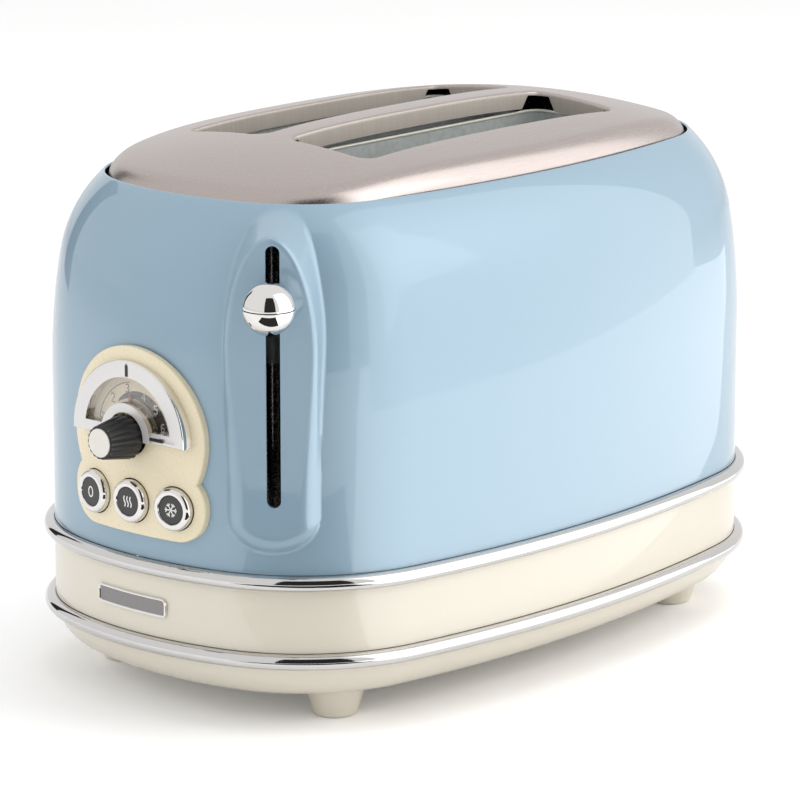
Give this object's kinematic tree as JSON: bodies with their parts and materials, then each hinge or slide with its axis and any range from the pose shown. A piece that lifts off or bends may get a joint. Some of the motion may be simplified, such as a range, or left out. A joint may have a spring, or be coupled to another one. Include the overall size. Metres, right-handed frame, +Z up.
{
  "type": "two-slice toaster",
  "caption": "Rounded two-slice toaster with a domed metal top, painted body, side lever, browning dial and push buttons.",
  "frame": {"origin": "floor point at the centre of the overall box", "axes": "+Z up from the floor, +Y from the controls to the rear, +X across to the lever's side"},
  "size_m": [0.1998, 0.3255, 0.2127],
  "materials": {
    "blue_paint": "gloss pearl",
    "brushed_top": "brushed along the body",
    "chrome": "mirror",
    "cream_gloss": "gloss",
    "cream_panel": "gloss",
    "plated_steel": "zinc plated sheet",
    "polished_steel": "ground",
    "clear_window": "clear",
    "scale_print": "printed",
    "black_plastic": "satin",
    "pale_disc": "satin",
    "red_needle": "satin",
    "dark_disc": "satin with a printed symbol",
    "mica": "pressed mica",
    "ribbon_wire": "resistance ribbon",
    "magnet_coil": "wound coil",
    "circuit_green": "circuit board"
  },
  "bodies": {
    "toaster_body": {"body_shell": "blue_paint", "top_plate": "brushed_top", "upper_trim_ring": "chrome", "lower_trim_ring": "chrome", "base_band": "cream_gloss", "base_pan": "cream_gloss", "foot_front_left": "cream_gloss", "foot_front_right": "cream_gloss", "foot_rear_left": "cream_gloss", "foot_rear_right": "cream_gloss", "foot_screws": "plated_steel", "control_panel": "cream_panel", "dial_bezel": "chrome", "dial_window": "clear_window", "dial_scale": "scale_print", "badge_plate": "chrome", "cord_bushing": "black_plastic", "chassis_floor": "plated_steel", "front_plate": "plated_steel", "rear_plate": "plated_steel", "chassis_top_frame": "plated_steel", "chassis_screws": "plated_steel", "left_reflector": "plated_steel", "right_reflector": "plated_steel", "left_mica_board": "mica", "centre_mica_board": "mica", "right_mica_board": "mica", "left_heating_ribbon": "ribbon_wire", "centre_heating_ribbon": "ribbon_wire", "right_heating_ribbon": "ribbon_wire", "guide_rods": "polished_steel", "lift_spring": "polished_steel", "holding_magnet": "magnet_coil", "control_board": "circuit_green", "board_components": "black_plastic", "board_screws": "plated_steel", "browning_potentiometer": "black_plastic", "button_switches": "black_plastic"},
    "carriage": {"carriage_bracket": "plated_steel", "left_bread_rack": "plated_steel", "right_bread_rack": "plated_steel", "latch_keeper": "plated_steel", "lever_stem": "plated_steel", "lever_ball_upper": "chrome", "lever_ball_lower": "chrome"},
    "knob": {"knob_body": "black_plastic", "knob_cap": "pale_disc", "knob_shaft": "plated_steel", "dial_needle": "red_needle"},
    "stop_button": {"stop_button_cap": "chrome", "stop_button_disc": "dark_disc"},
    "reheat_button": {"reheat_button_cap": "chrome", "reheat_button_disc": "dark_disc"},
    "defrost_button": {"defrost_button_cap": "chrome", "defrost_button_disc": "dark_disc"},
    "left_outer_guide": {"left_outer_guide": "plated_steel"},
    "left_inner_guide": {"left_inner_guide": "plated_steel"},
    "right_inner_guide": {"right_inner_guide": "plated_steel"},
    "right_outer_guide": {"right_outer_guide": "plated_steel"},
    "tray": {"crumb_tray": "plated_steel"}
  },
  "joints": [
    {"name": "carriage_slide", "type": "slide", "parent": "toaster_body", "child": "carriage", "axis": [0, 0, 1], "range_m": [-0.07, 0.013], "stiffness_N_per_m": 60, "springref_m": 0.02, "deforming": ["lift_spring"]},
    {"name": "browning_turn", "type": "hinge", "parent": "toaster_body", "child": "knob", "pos_m": [0, -0.14625, 0.1082], "axis": [0, 1, 0], "range_deg": [-65, 85]},
    {"name": "stop_press", "type": "slide", "parent": "toaster_body", "child": "stop_button", "axis": [0.1454, 0.9894, 0], "range_m": [0, 0.0025], "stiffness_N_per_m": 400},
    {"name": "reheat_press", "type": "slide", "parent": "toaster_body", "child": "reheat_button", "axis": [0, 1, 0], "range_m": [0, 0.0025], "stiffness_N_per_m": 400},
    {"name": "defrost_press", "type": "slide", "parent": "toaster_body", "child": "defrost_button", "axis": [-0.1454, 0.9894, 0], "range_m": [0, 0.0025], "stiffness_N_per_m": 400},
    {"name": "left_outer_guide_slide", "type": "slide", "parent": "toaster_body", "child": "left_outer_guide", "axis": [1, 0, 0], "range_m": [-0.00168, 0.009]},
    {"name": "left_inner_guide_slide", "type": "slide", "parent": "toaster_body", "child": "left_inner_guide", "axis": [1, 0, 0], "range_m": [-0.009, 0.00168]},
    {"name": "right_inner_guide_slide", "type": "slide", "parent": "toaster_body", "child": "right_inner_guide", "axis": [1, 0, 0], "range_m": [-0.00168, 0.009]},
    {"name": "right_outer_guide_slide", "type": "slide", "parent": "toaster_body", "child": "right_outer_guide", "axis": [1, 0, 0], "range_m": [-0.009, 0.00168]},
    {"name": "crumb_tray_slide", "type": "slide", "parent": "toaster_body", "child": "tray", "axis": [0, 1, 0], "range_m": [0, 0.19]}
  ],
  "couplings": [
    {"joint": "left_outer_guide_slide", "follows": "carriage_slide", "ratio": -0.12857},
    {"joint": "left_inner_guide_slide", "follows": "carriage_slide", "ratio": 0.12857},
    {"joint": "right_inner_guide_slide", "follows": "carriage_slide", "ratio": -0.12857},
    {"joint": "right_outer_guide_slide", "follows": "carriage_slide", "ratio": 0.12857}
  ]
}
